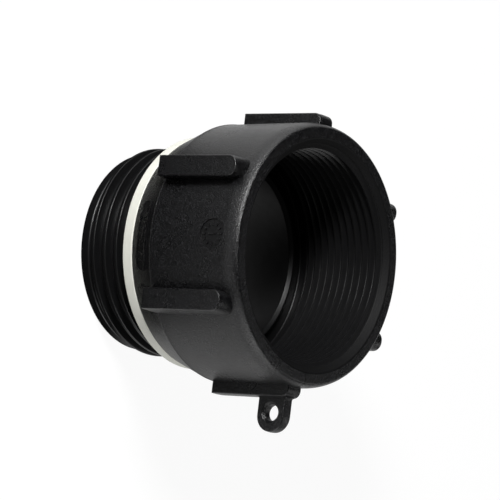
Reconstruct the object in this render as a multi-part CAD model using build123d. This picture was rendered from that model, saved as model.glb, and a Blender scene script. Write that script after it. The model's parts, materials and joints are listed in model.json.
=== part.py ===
from build123d import *
import os
from math import cos, radians, sin, sqrt, tan

# Thread adapter, moulded in one piece, with a flat gasket under its shoulder.
# It stands on its male end. The origin is on the axis in that end face, +Z runs up to the female mouth,
# and the lug points along +X, in the plane where the two halves of the mould met. Millimetres.

# Male end, from the bore outwards
bore_radius = 24.2
male_wall = 1.9
male_length = 22.2
pilot_length = 3.0
pilot_step = 0.8
pilot_round = 0.5

# Coarse male thread: a square flank towards the gasket and a sloping flank towards the male end
thread_pitch = 4.0
thread_depth = 2.3
thread_root_land = 0.6
thread_slope_angle = 45
thread_flank_angle = 4
thread_first_flank = 3.9
thread_end_gap = 0.9
thread_end_angle = -107
thread_root_overlap = 0.3
thread_fade_angle = 50
thread_trim_gap = 0.15

# Gasket, stretched over the thread and seated round the neck
gasket_thickness = 3.3
gasket_width = 4.35
gasket_clearance = 0.15
neck_step = 0.85
shoulder_overhang = 0.0

# Body
cone_length = 8.8
barrel_length = 29.6
barrel_flare = 0.4
rim_width = 4.2
rim_round_depth = 1.6
rim_round_length = 4.4

# Female socket: the wall is the crest of its fine thread
socket_ledge = 4.2
socket_floor_height = 8.4
mouth_chamfer = 2.6
relief_depth = 1.4
relief_length = 3.5
bead_height = 1.4
bead_chamfer = 0.9
bead_land = 0.4
bead_draft = 0.2

# Six grip ribs: two on the joint of the mould, and four moulded straight out to its sides, along Y
rib_width = 5.5
rib_start_gap = 0.4
rib_end_gap = 3.0
rib_draft = 1.5
joint_rib_height = 2.9
joint_rib_round = 2.2
joint_rib_root_depth = 1.2
side_rib_angle = 30
side_rib_height = 0.2
side_rib_round = 2.6
side_rib_root_depth = 1.1

# Lug for a cap strap, on the rib at +X
lug_hole_radius = 2.2
lug_hole_flare = 0.7
lug_hole_land = 2.0
lug_wall = 2.3
lug_thickness = 3.2
lug_hole_height = 4.2
lug_end_shift = 0.7
lug_mouth_gap = 9.1
lug_foot_depth = 1.3
lug_draft = 3

# Radii that follow
root_radius = bore_radius + male_wall
crest_radius = root_radius + thread_depth
pilot_radius = root_radius + pilot_step
neck_radius = root_radius + neck_step
gasket_inner_radius = neck_radius + gasket_clearance
gasket_outer_radius = gasket_inner_radius + gasket_width
shoulder_radius = gasket_outer_radius + shoulder_overhang
socket_radius = bore_radius + socket_ledge
relief_radius = socket_radius + relief_depth
mouth_radius = socket_radius + mouth_chamfer
rim_radius = mouth_radius + rim_width
barrel_radius = rim_radius - barrel_flare
joint_rib_radius = rim_radius + joint_rib_height
joint_rib_root = barrel_radius - joint_rib_root_depth
side_rib_offset = rim_radius * sin(radians(side_rib_angle))
side_rib_reach = rim_radius + side_rib_height
side_rib_outer_side = side_rib_offset + rib_width / 2
side_rib_root = sqrt(barrel_radius**2 - side_rib_outer_side**2) - side_rib_root_depth

# Heights that follow
cone_top = male_length + cone_length
overall_length = cone_top + barrel_length
rim_round_start = overall_length - rim_round_length
floor_height = male_length + socket_floor_height
bead_top = floor_height + bead_height
bore_length = bead_top - bead_chamfer
relief_top = floor_height + relief_length
socket_top = overall_length - mouth_chamfer
gasket_bottom = male_length - gasket_thickness
thread_last_flank = gasket_bottom - thread_end_gap
rib_start = cone_top + rib_start_gap
rib_end = overall_length - rib_end_gap
lug_height = overall_length - lug_mouth_gap


def outline():
    """Half section of the moulding, from the axis side round to the outside."""
    with BuildSketch(Plane.XZ) as section:
        with BuildLine():
            inside = Polyline(
                (pilot_radius - pilot_round, 0),
                (bore_radius, 0),
                (bore_radius, bore_length),
                (bore_radius + bead_chamfer, bead_top),
                (bore_radius + bead_chamfer + bead_land, bead_top),
                (bore_radius + bead_chamfer + bead_land + bead_draft, floor_height),
                (relief_radius, floor_height),
                (relief_radius, relief_top - relief_depth),
                (socket_radius, relief_top),
                (socket_radius, socket_top),
                (mouth_radius, overall_length),
                (rim_radius - rim_round_depth, overall_length),
            )
            EllipticalCenterArc(
                (rim_radius - rim_round_depth, rim_round_start),
                rim_round_depth,
                rim_round_length,
                start_angle=0,
                arc_size=90,
            )
            outside = Polyline(
                (rim_radius, rim_round_start),
                (barrel_radius, cone_top),
                (shoulder_radius, male_length),
                (neck_radius, male_length),
                (neck_radius, gasket_bottom),
                (root_radius, gasket_bottom),
                (root_radius, pilot_length),
                (pilot_radius, pilot_length),
                (pilot_radius, pilot_round),
            )
            RadiusArc(outside @ 1, inside @ 0, pilot_round)
        make_face()
    return revolve(section.sketch, axis=Axis.Z)


def thread_section():
    """The ridge in the plane of the axis, with height measured from the foot of its square flank."""
    flank_slope = tan(radians(thread_flank_angle))
    back_slope = tan(radians(thread_slope_angle))
    ridge_width = thread_pitch - thread_root_land
    return [
        (root_radius - thread_root_overlap, thread_root_overlap * flank_slope),
        (crest_radius, -thread_depth * flank_slope),
        (crest_radius, thread_depth * back_slope - ridge_width),
        (root_radius - thread_root_overlap, -thread_root_overlap * back_slope - ridge_width),
    ]


def fade(start_angle, low, high):
    """What is taken off one turn, so that its end sinks into the root within the fade angle."""
    swing = thread_depth + thread_trim_gap
    offset = swing / (1 - cos(radians(thread_fade_angle)))
    keep_radius = root_radius - thread_trim_gap + offset
    outer = crest_radius + thread_depth
    block = Pos(0, 0, (low + high) / 2) * Cylinder(outer, high - low)
    keep = Pos(-offset, 0, (low + high) / 2) * Cylinder(keep_radius, high - low)
    return Rot(0, 0, start_angle) * (block - keep)


def male_thread():
    travel = thread_last_flank - thread_first_flank
    sweep_angle = 360 * travel / thread_pitch
    start_angle = thread_end_angle - sweep_angle
    path = Helix(thread_pitch, travel, root_radius)
    with BuildSketch(Plane.XZ) as section:
        with BuildLine():
            Polyline(*thread_section(), close=True)
        make_face()
    ridge = sweep(section.sketch, path=path, is_frenet=True)
    ridge = Pos(0, 0, thread_first_flank) * Rot(0, 0, start_angle) * ridge
    fade_rise = thread_pitch * thread_fade_angle / 360
    first_top = thread_first_flank + fade_rise + thread_trim_gap
    last_low = thread_last_flank - thread_pitch + thread_trim_gap
    ridge -= fade(start_angle, first_top - thread_pitch - fade_rise, first_top)
    ridge -= fade(thread_end_angle, last_low, last_low + thread_pitch + fade_rise)
    return ridge


def joint_rib():
    """A rib on the joint of the mould: its profile lies in the joint, and half of it is in each mould half."""
    with BuildSketch(Plane.XZ) as profile:
        with Locations(((joint_rib_root + joint_rib_radius) / 2, (rib_start + rib_end) / 2)):
            Rectangle(joint_rib_radius - joint_rib_root, rib_end - rib_start)
        fillet(profile.vertices().sort_by(Axis.X)[-2:].sort_by(Axis.Y)[-1], joint_rib_round)
    return extrude(profile.sketch, amount=rib_width / 2, both=True, taper=rib_draft)


def side_rib_plan(reach, spread):
    """One level of a side rib, seen along the way the mould opened."""
    with BuildSketch(Plane.XZ.offset(reach)) as plan:
        with Locations((side_rib_offset, (rib_start + rib_end) / 2)):
            Rectangle(rib_width + 2 * spread, rib_end - rib_start + 2 * spread)
        fillet(plan.vertices().sort_by(Axis.Y)[-2:], side_rib_round + spread)
    return plan.sketch.face()


def side_rib():
    """A rib at the side of the mould, with a flat face across Y and a round end towards the mouth."""
    spread = (side_rib_reach - side_rib_root) * tan(radians(rib_draft))
    return loft([side_rib_plan(side_rib_root, spread), side_rib_plan(side_rib_reach, 0)])


def lug():
    radius = lug_hole_radius + lug_wall
    hole_x = joint_rib_radius + lug_hole_height
    end_x = hole_x + lug_end_shift
    foot = joint_rib_radius - lug_foot_depth
    with BuildSketch(Plane.XZ) as plate:
        with Locations((end_x, lug_height)):
            Circle(radius)
        with Locations(((foot + end_x) / 2, lug_height)):
            Rectangle(end_x - foot, 2 * radius)
    return extrude(plate.sketch, amount=lug_thickness / 2, both=True, taper=lug_draft)


def lug_hole():
    half = lug_thickness / 2
    land = lug_hole_land / 2
    wide = lug_hole_radius + lug_hole_flare
    with BuildSketch(Plane.XY) as section:
        with BuildLine():
            Polyline(
                (0, -half),
                (wide, -half),
                (lug_hole_radius, -land),
                (lug_hole_radius, land),
                (wide, half),
                (0, half),
                close=True,
            )
        make_face()
    pin = revolve(section.sketch, axis=Axis.Y)
    return Pos(joint_rib_radius + lug_hole_height, 0, lug_height) * pin


def adapter_body():
    body = outline() + male_thread()
    body += joint_rib() + mirror(joint_rib(), Plane.YZ)
    near_pair = side_rib() + mirror(side_rib(), Plane.YZ)
    body += near_pair + mirror(near_pair, Plane.XZ)
    body += lug()
    return body - lug_hole()


def gasket():
    ring = Cylinder(gasket_outer_radius, gasket_thickness) - Cylinder(gasket_inner_radius, gasket_thickness)
    return Pos(0, 0, gasket_bottom + gasket_thickness / 2) * ring


os.makedirs("parts", exist_ok=True)
pieces = {"adapter_body": adapter_body(), "gasket": gasket()}
for name, piece in pieces.items():
    export_step(piece, f"parts/{name}.step")
    box = piece.bounding_box()
    print(name, "solids", len(piece.solids()), "valid", piece.is_valid, "volume", round(piece.volume, 1), box)
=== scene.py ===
import json
from math import cos, pi, radians, sin, tan

import bmesh
import bpy
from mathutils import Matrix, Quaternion, Vector


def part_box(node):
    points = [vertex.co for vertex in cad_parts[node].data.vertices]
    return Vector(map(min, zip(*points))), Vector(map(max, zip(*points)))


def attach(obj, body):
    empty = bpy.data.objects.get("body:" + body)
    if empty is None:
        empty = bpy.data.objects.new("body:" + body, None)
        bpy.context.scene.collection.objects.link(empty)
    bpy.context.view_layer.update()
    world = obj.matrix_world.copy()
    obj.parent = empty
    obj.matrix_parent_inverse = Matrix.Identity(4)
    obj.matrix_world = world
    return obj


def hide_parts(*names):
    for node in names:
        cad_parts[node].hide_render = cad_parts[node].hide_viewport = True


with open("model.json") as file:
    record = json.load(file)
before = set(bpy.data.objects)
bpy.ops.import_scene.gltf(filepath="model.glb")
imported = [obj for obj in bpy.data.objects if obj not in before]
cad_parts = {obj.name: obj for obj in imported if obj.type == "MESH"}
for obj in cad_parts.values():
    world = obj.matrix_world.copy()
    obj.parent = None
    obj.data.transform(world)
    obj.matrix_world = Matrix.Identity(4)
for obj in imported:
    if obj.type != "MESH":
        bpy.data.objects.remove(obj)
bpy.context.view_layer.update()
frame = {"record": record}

# The turned form of the adapter body
# The whole body is one injection moulding in black polypropylene. This is its wall all the way round: the
# male end, the shoulder over the gasket, the cone, the barrel with its rounded rim, and the socket inside.
mm = 0.001
mounts = {mount["name"]: mount for mount in frame["record"]["mounts"]}
body_low, body_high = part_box("adapter_body")
gasket_low, gasket_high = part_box("gasket")
bore_radius = mounts["waterway"]["dims"]["r_mm"] * mm
bore_length = mounts["waterway"]["dims"]["length_mm"] * mm
crest_radius = mounts["male_thread"]["dims"]["r_mm"] * mm
pilot_length = mounts["male_thread"]["pos_m"][2]
socket_radius = mounts["female_thread"]["dims"]["r_mm"] * mm
socket_top = mounts["female_thread"]["pos_m"][2]
mouth_height = body_high.z
male_length = gasket_high.z
gasket_bottom = gasket_low.z
shoulder_radius = gasket_high.x
side_rib_height = 0.2 * mm
rim_radius = body_high.y - side_rib_height

male_wall = 1.9 * mm
pilot_step = 0.8 * mm
neck_step = 0.85 * mm
cone_length = 8.8 * mm
barrel_flare = 0.4 * mm
rim_round_depth = 1.6 * mm
rim_round_length = 4.4 * mm
socket_floor_height = 8.4 * mm
bead_height = 1.4 * mm
bead_land = 0.4 * mm
bead_draft = 0.2 * mm
relief_depth = 1.4 * mm
relief_length = 3.5 * mm
witness_height = 0.14 * mm
witness_crest_gap = 0.15 * mm
witness_end_gap = 0.45 * mm

root_radius = bore_radius + male_wall
pilot_radius = root_radius + pilot_step
neck_radius = root_radius + neck_step
barrel_radius = rim_radius - barrel_flare
cone_top = male_length + cone_length
mouth_radius = socket_radius + (mouth_height - socket_top)
floor_height = male_length + socket_floor_height
bead_top = floor_height + bead_height
bead_chamfer = bead_top - bore_length
bead_outer_radius = bore_radius + bead_chamfer + bead_land
bead_foot_radius = bead_outer_radius + bead_draft
relief_radius = socket_radius + relief_depth
relief_top = floor_height + relief_length
witness_crest = (barrel_radius + witness_height, cone_top + witness_crest_gap)

pilot_round = 0.5 * mm
inner_round = 0.4 * mm
edge_round = 0.3 * mm
bead_round = 0.18 * mm
witness_round = 0.1 * mm
turn_steps = 192
corner_steps = 4
rim_steps = 9
tiny = 0.001 * mm


def trace(name, points):
    """An outline drawn in the plane of the axis, by pulling one corner from point to point."""
    bpy.ops.object.select_all(action="DESELECT")
    bpy.ops.mesh.primitive_plane_add(size=1)
    drawn = bpy.context.object
    drawn.name = name
    bpy.ops.object.mode_set(mode="EDIT")
    bpy.ops.mesh.select_mode(type="VERT")
    bpy.ops.mesh.merge(type="CENTER")
    bpy.ops.transform.translate(value=(points[0][0], 0, points[0][1]))
    for (x, z), (next_x, next_z) in zip(points, points[1:]):
        step = (next_x - x, 0, next_z - z)
        bpy.ops.mesh.extrude_vertices_move(TRANSFORM_OT_translate={"value": step})
    return drawn


def pick(kind, test):
    """Picks the verts, edges or faces of the mesh in hand whose every corner passes the test."""
    bpy.ops.mesh.select_mode(type={"verts": "VERT", "edges": "EDGE", "faces": "FACE"}[kind])
    bpy.ops.mesh.select_all(action="DESELECT")
    mesh = bmesh.from_edit_mesh(bpy.context.object.data)
    for item in getattr(mesh, kind):
        corners = [item] if kind == "verts" else item.verts
        item.select_set(all(test(corner.co) for corner in corners))
    bmesh.update_edit_mesh(bpy.context.object.data)


def close_outline():
    """Fills the outline in hand with one flat face."""
    bpy.ops.mesh.select_all(action="SELECT")
    bpy.ops.mesh.edge_face_add()


def soften(size, *places, steps=corner_steps):
    """Rounds these corners of the outline in hand."""
    pick("verts", lambda co: any(abs(co.x - x) < tiny and abs(co.z - z) < tiny for x, z in places))
    bpy.ops.mesh.bevel(offset=size, segments=steps, affect="VERTICES")


def hollow_outline():
    """Takes the flat face out of the outline in hand and leaves its edges picked."""
    bpy.ops.mesh.select_all(action="SELECT")
    bpy.ops.mesh.delete(type="ONLY_FACE")
    bpy.ops.mesh.select_all(action="SELECT")


def seal():
    """Joins the seams of the solid in hand and turns its faces outwards."""
    bpy.ops.mesh.select_all(action="SELECT")
    bpy.ops.mesh.remove_doubles(threshold=tiny)
    bpy.ops.mesh.normals_make_consistent(inside=False)
    bpy.ops.object.mode_set(mode="OBJECT")


def spin_round():
    """Spins the outline in hand once round the axis, into a closed solid."""
    hollow_outline()
    bpy.ops.mesh.spin(steps=turn_steps, angle=2 * pi, center=(0, 0, 0), axis=(0, 0, 1))
    seal()


def rim_curve():
    """The rounding of the rim, from the flat lip out to the barrel."""
    return [
        (
            rim_radius - rim_round_depth + rim_round_depth * sin(pi / 2 * step / rim_steps),
            mouth_height - rim_round_length * (1 - cos(pi / 2 * step / rim_steps)),
        )
        for step in range(rim_steps + 1)
    ]


body = trace(
    "adapter_body_moulding",
    [
        (pilot_radius, 0),
        (bore_radius, 0),
        (bore_radius, bore_length),
        (bore_radius + bead_chamfer, bead_top),
        (bead_outer_radius, bead_top),
        (bead_foot_radius, floor_height),
        (relief_radius, floor_height),
        (relief_radius, relief_top - relief_depth),
        (socket_radius, relief_top),
        (socket_radius, socket_top),
        (mouth_radius, mouth_height),
        *rim_curve(),
        (barrel_radius, cone_top + witness_end_gap),
        witness_crest,
        (barrel_radius, cone_top),
        (shoulder_radius, male_length),
        (neck_radius, male_length),
        (neck_radius, gasket_bottom),
        (root_radius, gasket_bottom),
        (root_radius, pilot_length),
        (pilot_radius, pilot_length),
    ],
)
close_outline()
soften(pilot_round, (pilot_radius, 0), (pilot_radius, pilot_length), (bead_foot_radius, floor_height))
soften(inner_round, (bore_radius, 0), (relief_radius, floor_height))
soften(witness_round, witness_crest, (barrel_radius, cone_top))
soften(
    edge_round,
    (root_radius, pilot_length),
    (shoulder_radius, male_length),
    (mouth_radius, mouth_height),
)
soften(
    bead_round,
    (bore_radius, bore_length),
    (bore_radius + bead_chamfer, bead_top),
    (bead_outer_radius, bead_top),
)
spin_round()

# The coarse male thread
# Three and a half turns of a buttress ridge, 4 mm apart, moulded with the body. Its square flank faces
# the gasket and pulls the joint shut, and both its ends sink away into the root.
coarse_pitch = 4.0 * mm
coarse_root_land = 0.6 * mm
coarse_slope = tan(radians(45))
coarse_flank = tan(radians(4))
coarse_end_gap = 0.9 * mm
coarse_first_flank = pilot_length + coarse_end_gap
coarse_last_flank = gasket_bottom - coarse_end_gap
coarse_end_angle = radians(-107)
coarse_fade_angle = radians(50)
coarse_foot_depth = 0.3 * mm
coarse_sink_depth = 0.05 * mm
coarse_edge_round = 0.2 * mm
coarse_steps = 96
edge_steps = 3
coarse_depth = crest_radius - root_radius
ridge_width = coarse_pitch - coarse_root_land
travel = coarse_last_flank - coarse_first_flank
sweep_angle = 2 * pi * travel / coarse_pitch
ridge_steps = round(coarse_steps * sweep_angle / (2 * pi))
fade_steps = round(coarse_steps * coarse_fade_angle / (2 * pi))


def screw(angle, rise, steps, turns=1):
    """Turns the outline in hand about the axis while it climbs."""
    turned = bpy.context.object
    bpy.ops.object.mode_set(mode="OBJECT")
    turning = turned.modifiers.new("screw", "SCREW")
    turning.angle = angle
    turning.screw_offset = rise
    turning.iterations = turns
    turning.steps = turning.render_steps = steps
    bpy.ops.object.modifier_apply(modifier=turning.name)
    bpy.ops.object.mode_set(mode="EDIT")
    bpy.ops.mesh.select_all(action="SELECT")
    bpy.ops.mesh.remove_doubles(threshold=tiny)


def pick_open_edges():
    """Picks the edges that have a face on one side only."""
    bpy.ops.mesh.select_mode(type="VERT")
    bpy.ops.mesh.select_all(action="DESELECT")
    bpy.ops.mesh.select_non_manifold(
        use_wire=False,
        use_multi_face=False,
        use_non_contiguous=False,
        use_verts=False,
    )


def merge_solids(piece, other, operation="UNION"):
    """Adds the other solid to the piece, or cuts it away, and uses it up."""
    bpy.ops.object.select_all(action="DESELECT")
    piece.select_set(True)
    bpy.context.view_layer.objects.active = piece
    joining = piece.modifiers.new("merge", "BOOLEAN")
    joining.operation = operation
    joining.solver = "MANIFOLD"
    joining.object = other
    bpy.ops.object.modifier_apply(modifier=joining.name)
    bpy.data.objects.remove(other)


crest_upper = (crest_radius, -coarse_depth * coarse_flank)
crest_lower = (crest_radius, coarse_depth * coarse_slope - ridge_width)
ridge = trace(
    "coarse_thread",
    [
        (root_radius - coarse_foot_depth, coarse_foot_depth * coarse_flank),
        crest_upper,
        crest_lower,
        (root_radius - coarse_foot_depth, -coarse_foot_depth * coarse_slope - ridge_width),
    ],
)
close_outline()
soften(coarse_edge_round, crest_upper, crest_lower, steps=edge_steps)
hollow_outline()
screw(sweep_angle, travel, ridge_steps)


def on_crest(place, turned, climbed):
    """True for the outer corners of one slice of the ridge."""
    beside = place.x * sin(turned) - place.y * cos(turned)
    outward = place.x * cos(turned) + place.y * sin(turned)
    return abs(beside) < tiny and outward > root_radius and -coarse_pitch < place.z - climbed < tiny


for step in range(fade_steps):
    share = 1 - step / fade_steps
    sunk = share * share * (3 - 2 * share)
    shrink = 1 - sunk * (1 - (root_radius - coarse_sink_depth) / crest_radius)
    for slice_number in (step, ridge_steps - step):
        turned = sweep_angle * slice_number / ridge_steps
        climbed = travel * slice_number / ridge_steps
        pick("verts", lambda place: on_crest(place, turned, climbed))
        bpy.ops.transform.resize(value=(shrink, shrink, 1), center_override=(0, 0, 0))
pick_open_edges()
bpy.ops.mesh.edge_face_add()
bpy.ops.mesh.select_all(action="SELECT")
# With no window the rotate operator counts the other way.
bpy.ops.transform.rotate(
    value=sweep_angle - coarse_end_angle,
    orient_axis="Z",
    center_override=(0, 0, 0),
)
bpy.ops.transform.translate(value=(0, 0, coarse_first_flank))
seal()
merge_solids(body, ridge)

# The grip ribs
# Six ribs give a hand or a strap wrench its hold. The two halves of the mould opened along Y, so four
# ribs are plain blocks along Y with a flat face and a round end, and two lie on the joint of the mould.
rib_half = 2.75 * mm
rib_start_gap = 0.4 * mm
rib_end_gap = 3.0 * mm
rib_draft = tan(radians(1.5))
rib_edge_round = 0.3 * mm
side_rib_angle = radians(30)
side_rib_root_depth = 1.1 * mm
side_rib_round = 2.6 * mm
side_rib_steps = 10
joint_rib_root_depth = 1.2 * mm
joint_rib_round = 2.2 * mm
joint_rib_steps = 8
rib_start = cone_top + rib_start_gap
rib_end = mouth_height - rib_end_gap
rib_middle = (rib_start + rib_end) / 2
side_rib_offset = rim_radius * sin(side_rib_angle)
side_rib_reach = rim_radius + side_rib_height
side_rib_outer_side = side_rib_offset + rib_half
side_rib_root = (barrel_radius**2 - side_rib_outer_side**2) ** 0.5 - side_rib_root_depth
joint_rib_radius = -body_low.x
joint_rib_root = barrel_radius - joint_rib_root_depth
joint_rib_width = joint_rib_radius - joint_rib_root


def block(name, low, high):
    """A block between two corners, in hand."""
    low, high = Vector(low), Vector(high)
    bpy.ops.object.select_all(action="DESELECT")
    bpy.ops.mesh.primitive_cube_add(size=1, location=(low + high) / 2, scale=high - low)
    bpy.ops.object.transform_apply()
    made = bpy.context.object
    made.name = name
    bpy.ops.object.mode_set(mode="EDIT")
    return made


def round_edges(size, test, steps=edge_steps):
    """Rounds the edges of the solid in hand that pass the test."""
    pick("edges", test)
    bpy.ops.mesh.bevel(offset=size, segments=steps, affect="EDGES")


def draft_sides(centre, half_width, half_height, loss):
    """Makes both faces of the plate in hand smaller than its middle, so that the mould can open."""
    bpy.ops.mesh.select_all(action="SELECT")
    bpy.ops.mesh.bisect(plane_co=(0, 0, 0), plane_no=(0, 1, 0))
    for side in (-1, 1):
        pick("verts", lambda co: co.y * side > tiny)
        smaller = (1 - loss / half_width, 1, 1 - loss / half_height)
        bpy.ops.transform.resize(value=smaller, center_override=centre)


def copy_across(piece, x, y):
    """Another copy of a piece, carried over to the other side in X, in Y or in both."""
    bpy.ops.object.select_all(action="DESELECT")
    piece.select_set(True)
    bpy.context.view_layer.objects.active = piece
    bpy.ops.object.duplicate()
    bpy.ops.object.mode_set(mode="EDIT")
    bpy.ops.mesh.select_all(action="SELECT")
    bpy.ops.transform.resize(value=(x, y, 1), center_override=(0, 0, 0))
    seal()
    return bpy.context.object


side_rib = block(
    "side_rib",
    (side_rib_offset - rib_half, -side_rib_reach, rib_start),
    (side_rib_outer_side, -side_rib_root, rib_end),
)
spread = (side_rib_reach - side_rib_root) * rib_draft
pick("verts", lambda co: co.y > -side_rib_root - tiny)
wider = (1 + spread / rib_half, 1, 1 + spread / (rib_end - rib_middle))
bpy.ops.transform.resize(value=wider, center_override=(side_rib_offset, 0, rib_middle))
for side in (-1, 1):
    round_edges(
        side_rib_round,
        lambda co: co.z > rib_middle and (co.x - side_rib_offset) * side > rib_half / 2,
        side_rib_steps,
    )
round_edges(rib_edge_round, lambda co: co.y < -side_rib_reach + tiny)
seal()
for x, y in ((-1, 1), (1, -1), (-1, -1)):
    merge_solids(body, copy_across(side_rib, x, y))
merge_solids(body, side_rib)

joint_rib = block(
    "joint_rib",
    (joint_rib_root, -rib_half, rib_start),
    (joint_rib_radius, rib_half, rib_end),
)
round_edges(
    joint_rib_round,
    lambda co: co.x > joint_rib_radius - tiny and co.z > rib_middle,
    joint_rib_steps,
)
draft_sides(
    ((joint_rib_radius + joint_rib_root) / 2, 0, rib_middle),
    joint_rib_width / 2,
    rib_end - rib_middle,
    rib_half * rib_draft,
)
for side in (-1, 1):
    round_edges(rib_edge_round, lambda co: co.y * side > rib_half - tiny)
seal()
merge_solids(body, copy_across(joint_rib, -1, 1))

# The strap lug
# An eye on the rib at +X holds the strap of the cap. Its hole is a little wider at both faces, where the
# pin of the mould was flared, and its foot widens into the rib.
strap_hole = Vector(mounts["strap_hole"]["pos_m"])
strap_hole_radius = mounts["strap_hole"]["dims"]["r_mm"] * mm
strap_hole_land = mounts["strap_hole"]["dims"]["length_mm"] * mm
strap_hole_flare = 0.7 * mm
strap_hole_steps = 48
overshoot = 1 * mm
lug_wall = 2.3 * mm
lug_half = 1.6 * mm
lug_draft = tan(radians(3))
lug_foot_depth = 1.3 * mm
lug_seat_depth = 0.02 * mm
lug_fillet = 0.6 * mm
lug_fillet_round = 0.95 * lug_fillet
lug_edge_round = 0.25 * mm
lug_end_steps = 14
lug_radius = strap_hole_radius + lug_wall
lug_foot = joint_rib_radius - lug_foot_depth
lug_seat = joint_rib_radius - lug_seat_depth
lug_low = strap_hole.z - lug_radius
lug_high = strap_hole.z + lug_radius

lug = trace(
    "lug",
    [
        (lug_foot, lug_low - lug_fillet),
        (lug_seat, lug_low - lug_fillet),
        (lug_seat, lug_low),
        (body_high.x, lug_low),
        (body_high.x, lug_high),
        (lug_seat, lug_high),
        (lug_seat, lug_high + lug_fillet),
        (lug_foot, lug_high + lug_fillet),
    ],
)
close_outline()
soften(lug_radius - tiny, (body_high.x, lug_low), (body_high.x, lug_high), steps=lug_end_steps)
soften(lug_fillet_round, (lug_seat, lug_low), (lug_seat, lug_high))
bpy.ops.mesh.select_all(action="SELECT")
bpy.ops.transform.translate(value=(0, -lug_half, 0))
bpy.ops.mesh.extrude_region_move(TRANSFORM_OT_translate={"value": (0, 2 * lug_half, 0)})
draft_sides(strap_hole, lug_radius, lug_radius, lug_half * lug_draft)
for side in (-1, 1):
    round_edges(lug_edge_round, lambda co: co.y * side > lug_half - tiny)
seal()

bpy.ops.object.select_all(action="DESELECT")
bpy.ops.mesh.primitive_cylinder_add(
    vertices=strap_hole_steps,
    radius=strap_hole_radius,
    depth=strap_hole_land,
    location=strap_hole,
    rotation=(pi / 2, 0, 0),
)
bpy.ops.object.transform_apply()
pin = bpy.context.object
bpy.ops.object.mode_set(mode="EDIT")
flare_length = lug_half - strap_hole_land / 2
wide = (strap_hole_radius + strap_hole_flare) / strap_hole_radius
for side in (-1, 1):
    pick("faces", lambda co: co.y * side > tiny)
    bpy.ops.mesh.extrude_region_move(TRANSFORM_OT_translate={"value": (0, side * flare_length, 0)})
    bpy.ops.transform.resize(value=(wide, 1, wide), center_override=strap_hole)
    bpy.ops.mesh.extrude_region_move(TRANSFORM_OT_translate={"value": (0, side * overshoot, 0)})
seal()
merge_solids(lug, pin, "DIFFERENCE")
merge_solids(joint_rib, lug)
merge_solids(body, joint_rib)

# The marks of the mould
# A round date stamp with twelve strokes is sunk into the barrel, and an oblong panel of slanted strokes
# stands proud of the cone. A fine groove shows where the two halves of the mould met.
mark_height = 0.16 * mm
mark_line = 0.4 * mm
skin_depth = 0.5 * mm
skin_top_taper = 0.35 * mm
stamp_centre = (0.3 * mm, 52.3 * mm)
stamp_radius = 4.4 * mm
stamp_steps = 64
stamp_strokes = 12
stamp_stroke_start = stamp_radius * 0.52
stamp_stroke_end = stamp_radius * 0.74
stamp_middle_reach = stamp_radius * 0.3
well_depth = 0.2 * mm
panel_centre = (0.5 * mm, 26.6 * mm)
panel_half_length = 9.6 * mm
panel_half_width = 2.1 * mm
panel_end_steps = 16
panel_strokes = 9
panel_stroke_pitch = 1.7 * mm
panel_stroke_slant = 0.35 * mm
panel_stroke_reach = 1.0 * mm
panel_stroke_line = 0.55 * mm


def prism(name, points):
    """A solid through the near wall, whose outline is seen from -Y."""
    drawn = trace(name, points)
    close_outline()
    bpy.ops.transform.translate(value=(0, -rim_radius - overshoot, 0))
    bpy.ops.mesh.select_all(action="SELECT")
    bpy.ops.mesh.extrude_region_move(TRANSFORM_OT_translate={"value": (0, rim_radius / 3, 0)})
    seal()
    return drawn


def stamp_point(reach, angle):
    """A point of the round stamp."""
    return (stamp_centre[0] + reach * cos(angle), stamp_centre[1] + reach * sin(angle))


def stamp_circle(radius):
    """The points of a circle round the stamp's centre."""
    return [stamp_point(radius, 2 * pi * step / stamp_steps) for step in range(stamp_steps)]


def stroke_points(start, end, width):
    """The four corners of a straight stroke."""
    along = Vector((end[0] - start[0], end[1] - start[1])).normalized()
    across = Vector((-along.y, along.x)) * width / 2
    return [
        (start[0] + across.x, start[1] + across.y),
        (end[0] + across.x, end[1] + across.y),
        (end[0] - across.x, end[1] - across.y),
        (start[0] - across.x, start[1] - across.y),
    ]


def panel_points(inset):
    """An oblong with half-round ends."""
    radius = panel_half_width - inset
    straight = panel_half_length - panel_half_width
    points = []
    for side in (1, -1):
        for step in range(panel_end_steps + 1):
            angle = pi * (step / panel_end_steps - 0.5)
            x = panel_centre[0] + side * (straight + radius * cos(angle))
            z = panel_centre[1] + side * radius * sin(angle)
            points.append((x, z))
    return points


marks = prism("marks", stamp_circle(stamp_radius))
merge_solids(marks, prism("stamp_field", stamp_circle(stamp_radius - mark_line)), "DIFFERENCE")
for number in range(stamp_strokes):
    angle = 2 * pi * number / stamp_strokes
    low = stamp_point(stamp_stroke_start, angle)
    high = stamp_point(stamp_stroke_end, angle)
    merge_solids(marks, prism("stroke", stroke_points(low, high, mark_line)))
low = (stamp_centre[0], stamp_centre[1] - stamp_middle_reach)
high = (stamp_centre[0], stamp_centre[1] + stamp_middle_reach)
merge_solids(marks, prism("stroke", stroke_points(low, high, mark_line)))
panel = prism("panel", panel_points(0))
merge_solids(panel, prism("panel_field", panel_points(mark_line)), "DIFFERENCE")
merge_solids(marks, panel)
for number in range(panel_strokes):
    x = panel_centre[0] + (number - (panel_strokes - 1) / 2) * panel_stroke_pitch
    low = (x - panel_stroke_slant, panel_centre[1] - panel_stroke_reach)
    high = (x + panel_stroke_slant, panel_centre[1] + panel_stroke_reach)
    merge_solids(marks, prism("stroke", stroke_points(low, high, panel_stroke_line)))

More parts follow.
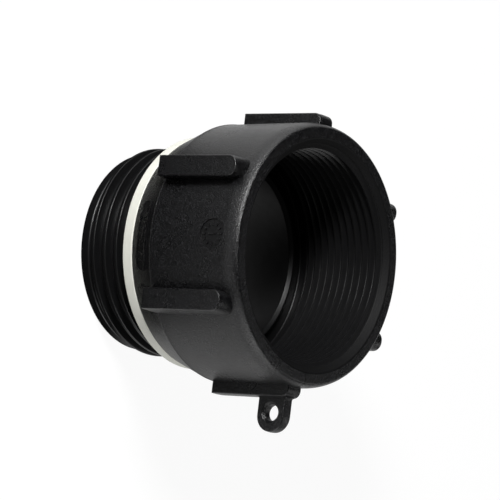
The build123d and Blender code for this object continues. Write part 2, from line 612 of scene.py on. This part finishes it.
skin_low = male_length + overshoot
skin_low_radius = shoulder_radius + overshoot * (barrel_radius - shoulder_radius) / cone_length
skin_high = mouth_height - rim_round_length / 2
skin = trace(
    "mark_skin",
    [
        (shoulder_radius - skin_depth, skin_low),
        (skin_low_radius + mark_height, skin_low),
        (barrel_radius + mark_height, cone_top),
        (rim_radius + mark_height, mouth_height - rim_round_length),
        (rim_radius + mark_height - skin_top_taper, skin_high),
        (barrel_radius - skin_depth - skin_top_taper, skin_high),
        (barrel_radius - skin_depth, cone_top),
    ],
)
close_outline()
spin_round()
merge_solids(marks, skin, "INTERSECT")
well = prism("stamp_well", stamp_circle(stamp_radius - mark_line / 2))
well_skin = trace(
    "well_skin",
    [
        (barrel_radius - well_depth, cone_top),
        (barrel_radius + overshoot, cone_top),
        (rim_radius + overshoot, mouth_height - overshoot),
        (rim_radius - well_depth, mouth_height - rim_round_length + overshoot),
        (rim_radius - well_depth, mouth_height - rim_round_length),
    ],
)
close_outline()
spin_round()
merge_solids(well, well_skin, "INTERSECT")
merge_solids(body, well, "DIFFERENCE")
merge_solids(body, marks)

seam_depth = 0.1 * mm
seam_inset = 0.9 * seam_depth
seam_half = 0.09 * mm
rim_seam_way = [(mouth_radius + edge_round, mouth_height), *rim_curve()[:-2]]
cone_seam_way = [
    (barrel_radius, cone_top + 2 * seam_depth),
    (barrel_radius, cone_top),
    (shoulder_radius, male_length),
]
for name, way in (("rim_seam", rim_seam_way), ("cone_seam", cone_seam_way)):
    inner = [(x - seam_inset, z - seam_depth) for x, z in way]
    outer = [(x + seam_depth, z + seam_depth) for x, z in way]
    seam = trace(name, inner + outer[::-1])
    close_outline()
    bpy.ops.transform.translate(value=(0, -seam_half, 0))
    bpy.ops.mesh.select_all(action="SELECT")
    bpy.ops.mesh.extrude_region_move(TRANSFORM_OT_translate={"value": (0, 2 * seam_half, 0)})
    seal()
    merge_solids(body, copy_across(seam, -1, 1), "DIFFERENCE")
    merge_solids(body, seam, "DIFFERENCE")

# The fine female thread
# A pipe thread of eleven turns to the inch, left in the socket by a screwed core that was turned out of the
# warm moulding. The core's own shape is cut away here: its rounded crests become the socket's roots.
fine_pitch = 25.4 / 11 * mm
fine_depth = 1.35 * mm
fine_half_angle = radians(27.5)
fine_rounding = 0.137 * fine_pitch
fine_crest_height = 36.3 * mm
fine_start_turns = -2
fine_turns = 13
fine_steps = 144
sharp_depth = fine_pitch / 2 / tan(fine_half_angle)
cut_off = (sharp_depth - fine_depth) / 2
fine_middle = socket_radius + fine_depth / 2
# The socket's crest lies three quarters of a pitch up the core's outline.
fine_base = fine_crest_height + (fine_start_turns + 0.25) * fine_pitch
outer_point = (socket_radius + fine_depth + cut_off, fine_pitch / 4)
inner_point = (socket_radius - cut_off, fine_pitch * 3 / 4)
core = trace(
    "fine_thread_core",
    [(fine_middle, 0), outer_point, inner_point, (fine_middle, fine_pitch)],
)
soften(fine_rounding / tan(fine_half_angle), outer_point, inner_point)
bpy.ops.mesh.select_all(action="SELECT")
screw(2 * pi, fine_pitch, fine_steps, fine_turns)
for end_height in (0, fine_pitch * fine_turns):
    pick_open_edges()
    mesh = bmesh.from_edit_mesh(core.data)
    for corner in mesh.verts:
        if abs(corner.co.z - end_height) > fine_pitch + tiny:
            corner.select_set(False)
    mesh.select_flush(False)
    bmesh.update_edit_mesh(core.data)
    bpy.ops.mesh.extrude_edges_move()
    bpy.ops.mesh.merge(type="CENTER")
bpy.ops.mesh.select_all(action="SELECT")
bpy.ops.transform.translate(value=(0, 0, fine_base))
seal()
merge_solids(body, core, "DIFFERENCE")

# The surface of the moulding
# Carbon-black polypropylene. The mould was spark-eroded outside, which leaves a fine satin grain on the
# cone, barrel, rim, ribs and lug. Both threads and the bore came off polished steel and are smoother. The
# bevel of the mouth is rougher, with painted shade: a darker colour and a weaker reflection. A real grain
# is
# about 0.1 mm: it is drawn coarser, so that it shows.
grain_size = 0.38 * mm
grain_depth = 0.16 * mm
patch_size = 9 * mm
tooth_depth = 0.06 * mm
ripple_size = 2.5 * mm
ripple_depth = 0.03 * mm
lip_start = mouth_radius + 0.2 * mm
bevel_end = mouth_radius + 0.31 * mm
well_floor_limit = barrel_radius + 0.24 * mm
stamp_place = Vector(stamp_centre)


def light_values(code):
    """An sRGB hex colour as linear light."""
    values = []
    for start in (0, 2, 4):
        value = int(code[start : start + 2], 16) / 255
        values.append(value / 12.92 if value <= 0.04045 else ((value + 0.055) / 1.055) ** 2.4)
    return values + [1]


def node(tree, kind, inputs, **settings):
    """Adds a node with its settings. An input is a value, or the output that it is linked from."""
    made = tree.nodes.new("ShaderNode" + kind)
    for setting, value in settings.items():
        setattr(made, setting, value)
    for socket, value in inputs.items():
        if isinstance(value, bpy.types.NodeSocket):
            tree.links.new(value, made.inputs[socket])
        else:
            made.inputs[socket].default_value = value
    return made


def surface(name):
    """A new material with its shader and the place on the object."""
    made = bpy.data.materials.new(name)
    made.use_nodes = True
    tree = made.node_tree
    return made, tree, tree.nodes["Principled BSDF"], node(tree, "TexCoord", {}).outputs["Object"]


def coat(finish, test):
    """Gives a finish to the faces of the body that pass the test."""
    pick("faces", test)
    body.active_material_index = body.data.materials.find(finish.name)
    bpy.ops.object.material_slot_assign()


def smooth_shading(piece):
    """Shades the rounds smooth, and keeps the wide faces beside them as flat as they are."""
    bpy.ops.object.shade_smooth_by_angle(angle=radians(35))
    weighting = piece.modifiers.new("weighting", "WEIGHTED_NORMAL")
    weighting.keep_sharp = True
    bpy.ops.object.modifier_apply(modifier=weighting.name)


# Polypropylene off a spark-eroded mould: satin black, with a fine grain. Its colour is painted paler on the
# grain's peaks as highlight specks, and darker in its pits as shade.
grained, tree, shader, place = surface("black_polypropylene_spark_eroded")
grain = node(
    tree,
    "TexNoise",
    {"Vector": place, "Scale": 1 / grain_size, "Detail": 2, "Roughness": 0.6},
)
# Painted light: the grain's peaks get a paler colour as highlight specks, and its pits a darker one as
# shade.
painted_peak_highlight = node(tree, "MapRange", {"Value": grain.outputs["Fac"], "From Min": 0.5, "From Max": 0.72})
painted_grain_light = node(
    tree,
    "Mix",
    {"Factor": painted_peak_highlight.outputs["Result"], "A": light_values("080809"), "B": light_values("303032")},
    data_type="RGBA",
)
patches = node(tree, "TexNoise", {"Vector": place, "Scale": 1 / patch_size, "Detail": 3})
dulled = node(tree, "MapRange", {"Value": patches.outputs["Fac"], "To Min": 0.24, "To Max": 0.32})
relief = node(tree, "Bump", {"Height": grain.outputs["Fac"], "Strength": 1, "Distance": grain_depth})
tree.links.new(painted_grain_light.outputs["Result"], shader.inputs["Base Color"])
tree.links.new(dulled.outputs["Result"], shader.inputs["Roughness"])
tree.links.new(relief.outputs["Normal"], shader.inputs["Normal"])

# The same polypropylene off polished steel: deeper black, with long soft ripples from its shrinking.
smooth, tree, shader, place = surface("black_polypropylene_polished")
ripples = node(tree, "TexNoise", {"Vector": place, "Scale": 1 / ripple_size, "Detail": 2})
dulled = node(tree, "MapRange", {"Value": ripples.outputs["Fac"], "To Min": 0.33, "To Max": 0.43})
relief = node(tree, "Bump", {"Height": ripples.outputs["Fac"], "Strength": 1, "Distance": ripple_depth})
shader.inputs["Base Color"].default_value = light_values("101011")
tree.links.new(dulled.outputs["Result"], shader.inputs["Roughness"])
tree.links.new(relief.outputs["Normal"], shader.inputs["Normal"])

# The same polypropylene on the bevel of the mouth: rougher, with a fine tooth, and with painted shade, a
# darker colour and a weaker reflection, so that it holds no clear highlight.
matt_bevel_painted_dark, tree, shader, place = surface("black_polypropylene_matt")
tooth = node(tree, "TexNoise", {"Vector": place, "Scale": 1 / grain_size, "Detail": 2})
relief = node(tree, "Bump", {"Height": tooth.outputs["Fac"], "Strength": 1, "Distance": tooth_depth})
# Painted shade: a darker colour and a turned-down reflection on the bevel of the mouth.
shader.inputs["Base Color"].default_value = light_values("0A0A0B")
shader.inputs["Roughness"].default_value = 0.6
shader.inputs["Specular IOR Level"].default_value = 0.22
tree.links.new(relief.outputs["Normal"], shader.inputs["Normal"])

bpy.ops.object.select_all(action="DESELECT")
body.select_set(True)
bpy.context.view_layer.objects.active = body
body.data.materials.clear()
for finish in (smooth, grained, matt_bevel_painted_dark):
    body.data.materials.append(finish)
bpy.ops.object.mode_set(mode="EDIT")
coat(grained, lambda co: co.z > male_length - tiny and co.xy.length > lip_start)
coat(matt_bevel_painted_dark, lambda co: co.z > socket_top - tiny and co.xy.length < bevel_end)
coat(
    smooth,
    lambda co: co.y < 0
    and co.xy.length < well_floor_limit
    and (co.xz - stamp_place).length < stamp_radius,
)
bpy.ops.object.mode_set(mode="OBJECT")
smooth_shading(body)
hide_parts("adapter_body")
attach(body, "root")

# The gasket
# A flat ring of off-white rubber, moulded on its own and stretched over the thread. It sits loosely on the
# neck under the shoulder and seals against the end of the threaded neck that the adapter screws into.
gasket_clearance = 0.15 * mm
gasket_round = 0.4 * mm
mottle_size = 4 * mm
dust_size = 0.4 * mm
dust_depth = 0.03 * mm
gasket_inner_radius = neck_radius + gasket_clearance
gasket = trace(
    "flat_gasket",
    [
        (gasket_inner_radius, gasket_bottom),
        (shoulder_radius, gasket_bottom),
        (shoulder_radius, male_length),
        (gasket_inner_radius, male_length),
    ],
)
close_outline()
soften(
    gasket_round,
    (shoulder_radius, gasket_bottom),
    (shoulder_radius, male_length),
    (gasket_inner_radius, gasket_bottom),
)
spin_round()

# Off-white rubber: matt, a little uneven in colour, with a fine dusty tooth.
rubber, tree, shader, place = surface("off_white_rubber")
mottling = node(tree, "TexNoise", {"Vector": place, "Scale": 1 / mottle_size, "Detail": 4})
tint = node(
    tree,
    "Mix",
    {"Factor": mottling.outputs["Fac"], "A": light_values("E0E0D6"), "B": light_values("EDEDE4")},
    data_type="RGBA",
)
dust = node(tree, "TexNoise", {"Vector": place, "Scale": 1 / dust_size, "Detail": 2})
relief = node(tree, "Bump", {"Height": dust.outputs["Fac"], "Strength": 0.5, "Distance": dust_depth})
tree.links.new(tint.outputs["Result"], shader.inputs["Base Color"])
shader.inputs["Roughness"].default_value = 0.62
tree.links.new(relief.outputs["Normal"], shader.inputs["Normal"])
gasket.data.materials.append(rubber)
smooth_shading(gasket)
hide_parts("gasket")
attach(gasket, "root")

# The studio
# White paper on a table, which still takes a faint share of the part's shadow. A round dark patch under and
# in front of the part is painted shade: the camera sees paper there too, but reflections and bounced light
# see black, which gives the near faces their deep black. What mirrors the paper sees it dimmer than white.
table_size = 6
paper_glow = 0.93
mirrored_share = 0.42
dark_patch_middle = (-8 * mm, -60 * mm, 0)
dark_patch_radius = 66 * mm
dark_patch_fringe = 8 * mm
bpy.ops.object.select_all(action="DESELECT")
bpy.ops.mesh.primitive_plane_add(size=table_size)
floor = bpy.context.object
floor.name = "studio_table"
paper = bpy.data.materials.new("white_paper_and_black_cloth")
paper.use_nodes = True
tree = paper.node_tree
tree.nodes.clear()
path = node(tree, "LightPath", {})
clear = node(
    tree,
    "Math",
    {0: path.outputs["Is Camera Ray"], 1: path.outputs["Is Transmission Ray"]},
    operation="MAXIMUM",
)
sight = node(
    tree,
    "Math",
    {0: path.outputs["Is Glossy Ray"], 1: mirrored_share, 2: clear.outputs["Value"]},
    operation="MULTIPLY_ADD",
)
matt = node(tree, "BsdfDiffuse", {"Color": light_values("DCDCDC")})
faint = node(tree, "BsdfDiffuse", {"Color": light_values("606060")})
glow = node(tree, "Emission", {"Color": light_values("FFFFFF"), "Strength": paper_glow})
seen = node(tree, "AddShader", {0: faint.outputs["BSDF"], 1: glow.outputs["Emission"]})
sheet = node(
    tree,
    "MixShader",
    {0: sight.outputs["Value"], 1: matt.outputs["BSDF"], 2: seen.outputs["Shader"]},
)
place = node(tree, "TexCoord", {}).outputs["Object"]
# Painted shade: a dark patch round this point, which reflections and bounced light see but the camera never
# does.
reach = node(tree, "VectorMath", {0: place, 1: dark_patch_middle}, operation="DISTANCE")
beyond = node(
    tree,
    "MapRange",
    {
        "Value": reach.outputs["Value"],
        "From Min": dark_patch_radius - dark_patch_fringe,
        "From Max": dark_patch_radius + dark_patch_fringe,
    },
)
outside_dark_patch = node(
    tree,
    "Math",
    {0: beyond.outputs["Result"], 1: clear.outputs["Value"]},
    operation="MAXIMUM",
)
dark_patch_shader = node(tree, "BsdfDiffuse", {"Color": light_values("1C1C1C")})
with_dark_patch = node(
    tree,
    "MixShader",
    {0: outside_dark_patch.outputs["Value"], 1: dark_patch_shader.outputs["BSDF"], 2: sheet.outputs["Shader"]},
)
node(tree, "OutputMaterial", {"Surface": with_dark_patch.outputs["Shader"]})
floor.data.materials.append(paper)

world = bpy.data.worlds.new("studio")
bpy.context.scene.world = world
world.use_nodes = True
world.node_tree.nodes["Background"].inputs["Color"].default_value = (0.03, 0.03, 0.03, 1)
lamp_aim = Vector((0, 0, 0.03))


def softbox(name, place, size, power):
    """A square soft light at a place, facing the part."""
    data = bpy.data.lights.new(name, "AREA")
    data.size = size
    data.energy = power
    lamp = bpy.data.objects.new(name, data)
    lamp.location = place
    lamp.rotation_euler = (lamp_aim - Vector(place)).to_track_quat("-Z", "Y").to_euler()
    bpy.context.scene.collection.objects.link(lamp)


softbox("left_softbox", (-0.7, -0.12, 0.06), 0.5, 2.2)
softbox("right_softbox", (0.7, -0.1, 0.12), 0.5, 2.5)
softbox("front_softbox", (-0.5, -0.65, 0.5), 0.18, 9.5)
softbox("back_softbox", (0.3, 0.75, 0.5), 0.4, 0.8)

# The camera
# A long lens on the near side, in the place and turn that were fitted to the photo's rims, threads and
# ribs. Its roll lays the part on its side, with the mouth to the right and the lug down.
camera_lens = 252
sensor_width = 36
camera_distance = 0.9425
camera_aim = Vector((-1.68, 2.98, 34.27)) * mm
camera_azimuth = radians(-80.9)
camera_elevation = radians(39.0)
camera_roll = radians(91.12)
camera_data = bpy.data.cameras.new("camera")
camera_data.lens = camera_lens
camera_data.sensor_width = sensor_width
camera = bpy.data.objects.new("camera", camera_data)
back = Vector(
    (
        cos(camera_azimuth) * cos(camera_elevation),
        sin(camera_azimuth) * cos(camera_elevation),
        sin(camera_elevation),
    )
)
camera.location = camera_aim + back * camera_distance
camera.rotation_mode = "QUATERNION"
camera.rotation_quaternion = (-back).to_track_quat("-Z", "Y") @ Quaternion((0, 0, 1), camera_roll)
bpy.context.scene.collection.objects.link(camera)
bpy.context.scene.camera = camera
bpy.context.scene.view_settings.view_transform = "Standard"
